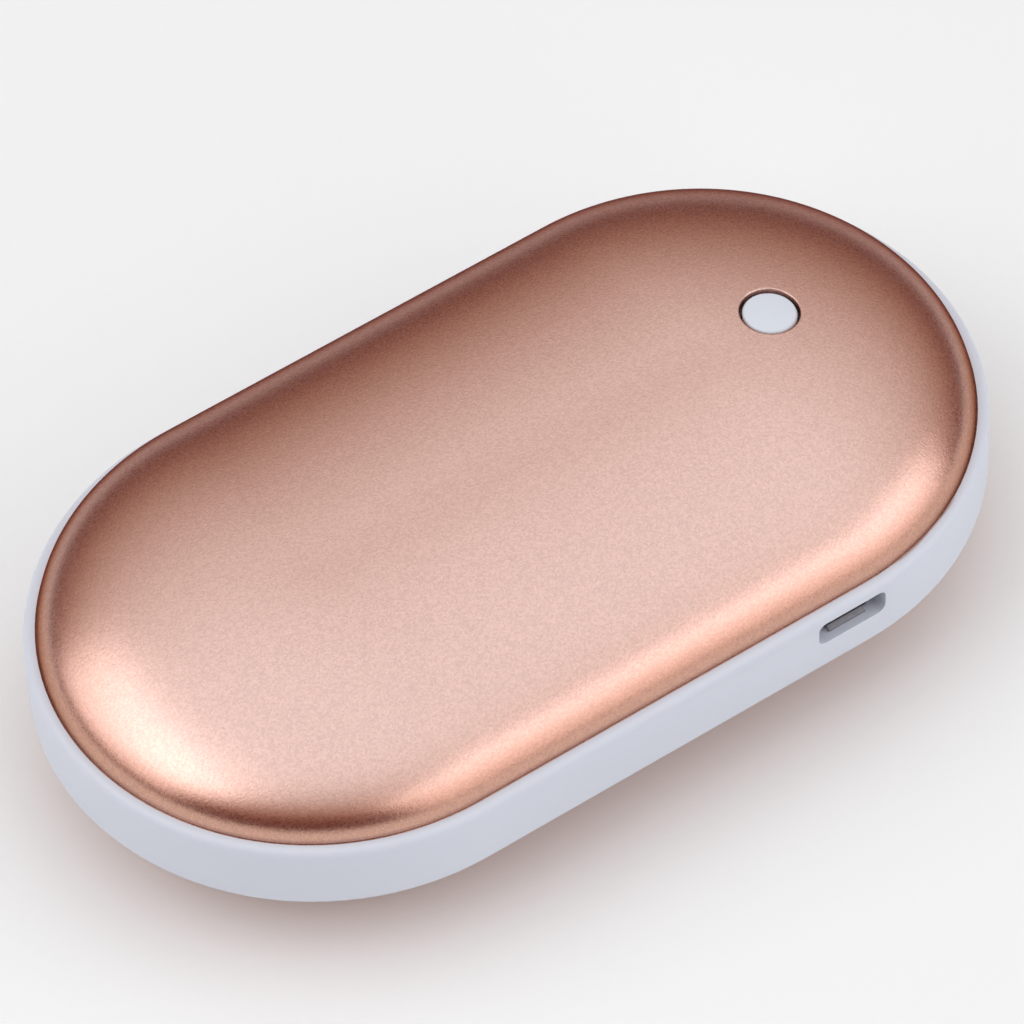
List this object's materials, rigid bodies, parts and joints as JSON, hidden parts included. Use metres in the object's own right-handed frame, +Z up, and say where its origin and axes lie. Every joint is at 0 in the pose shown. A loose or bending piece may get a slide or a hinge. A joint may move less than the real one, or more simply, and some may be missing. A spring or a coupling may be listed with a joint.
{
  "type": "rechargeable hand warmer",
  "caption": "Pebble-shaped rechargeable hand warmer: two domed metal shells on a plastic side band, with a push button and a side charging socket.",
  "frame": {"origin": "middle of the flat strip under the bottom shell, on the surface it rests on", "axes": "+X along the length to the button end, -Y out of the long side with the charging socket, +Z up through the top shell"},
  "size_m": [0.105, 0.0588, 0.0264],
  "materials": {
    "shell_metal": "bead-blasted and anodised rose gold",
    "band_plastic": "fine satin, pale lavender white",
    "liner_plastic": "as moulded",
    "button_plastic": "satin, slightly translucent white",
    "switch_plastic": "as moulded",
    "switch_metal": "tinned sheet",
    "board_laminate": "green solder mask",
    "screw_steel": "zinc plated",
    "socket_steel": "nickel-plated sheet",
    "socket_plastic": "as moulded",
    "contact_gold": "gold flash",
    "cell_can": null,
    "cell_sleeve": "shrunk film",
    "washer_paper": "fibre paper",
    "link_nickel": "rolled strip",
    "heater_film": "amber polyimide",
    "heater_track": "etched foil",
    "foam": "soft foam",
    "wire_red": "silicone insulation",
    "wire_white": "silicone insulation",
    "wire_black": "silicone insulation",
    "thermistor_glass": "dipped bead",
    "inductor_ferrite": "pressed ferrite",
    "chip_epoxy": "moulded epoxy with tinned legs",
    "capacitor_ceramic": "fired ceramic with tinned ends",
    "lamp_resin": "clear resin on a white base"
  },
  "bodies": {
    "housing": {"top_shell": "shell_metal", "bottom_shell": "shell_metal", "side_band": "band_plastic", "top_liner": "liner_plastic", "bottom_liner": "liner_plastic", "button_guide": "liner_plastic", "switch_body": "switch_plastic", "switch_cover": "switch_metal", "switch_dome": "switch_metal", "switch_legs": "switch_metal", "circuit_board": "board_laminate", "board_screw_1": "screw_steel", "board_screw_2": "screw_steel", "board_screw_3": "screw_steel", "port_shell": "socket_steel", "port_tongue": "socket_plastic", "port_contacts": "contact_gold", "battery_cell_front": "cell_can", "battery_cell_rear": "cell_can", "cell_sleeve_front": "cell_sleeve", "cell_sleeve_rear": "cell_sleeve", "cell_washer_front": "washer_paper", "cell_washer_rear": "washer_paper", "plus_strip": "link_nickel", "minus_strip": "link_nickel", "cell_bracket_left": "liner_plastic", "cell_bracket_right": "liner_plastic", "top_heater_film": "heater_film", "bottom_heater_film": "heater_film", "top_heater_track": "heater_track", "bottom_heater_track": "heater_track", "top_foam_pad": "foam", "bottom_foam_pad": "foam", "top_heater_wire_front": "wire_red", "top_heater_wire_rear": "wire_white", "bottom_heater_wire_front": "wire_red", "bottom_heater_wire_rear": "wire_white", "plus_wire": "wire_red", "minus_wire": "wire_black", "thermistor": "thermistor_glass", "power_inductor": "inductor_ferrite", "charger_chip": "chip_epoxy", "controller_chip": "chip_epoxy", "heater_transistor_1": "chip_epoxy", "heater_transistor_2": "chip_epoxy", "chip_capacitor_1": "capacitor_ceramic", "chip_capacitor_2": "capacitor_ceramic", "chip_capacitor_3": "capacitor_ceramic", "chip_resistor_1": "chip_epoxy", "chip_resistor_2": "chip_epoxy", "chip_resistor_3": "chip_epoxy", "chip_resistor_4": "chip_epoxy", "indicator_lamp_1": "lamp_resin", "indicator_lamp_2": "lamp_resin"},
    "button": {"power_button": "button_plastic", "switch_plunger": "switch_plastic"}
  },
  "joints": [
    {"name": "button_press", "type": "slide", "parent": "housing", "child": "button", "axis": [0, 0, -1], "range_m": [0, 0.0003], "stiffness_N_per_m": 2000, "deforming": ["switch_dome"]}
  ]
}
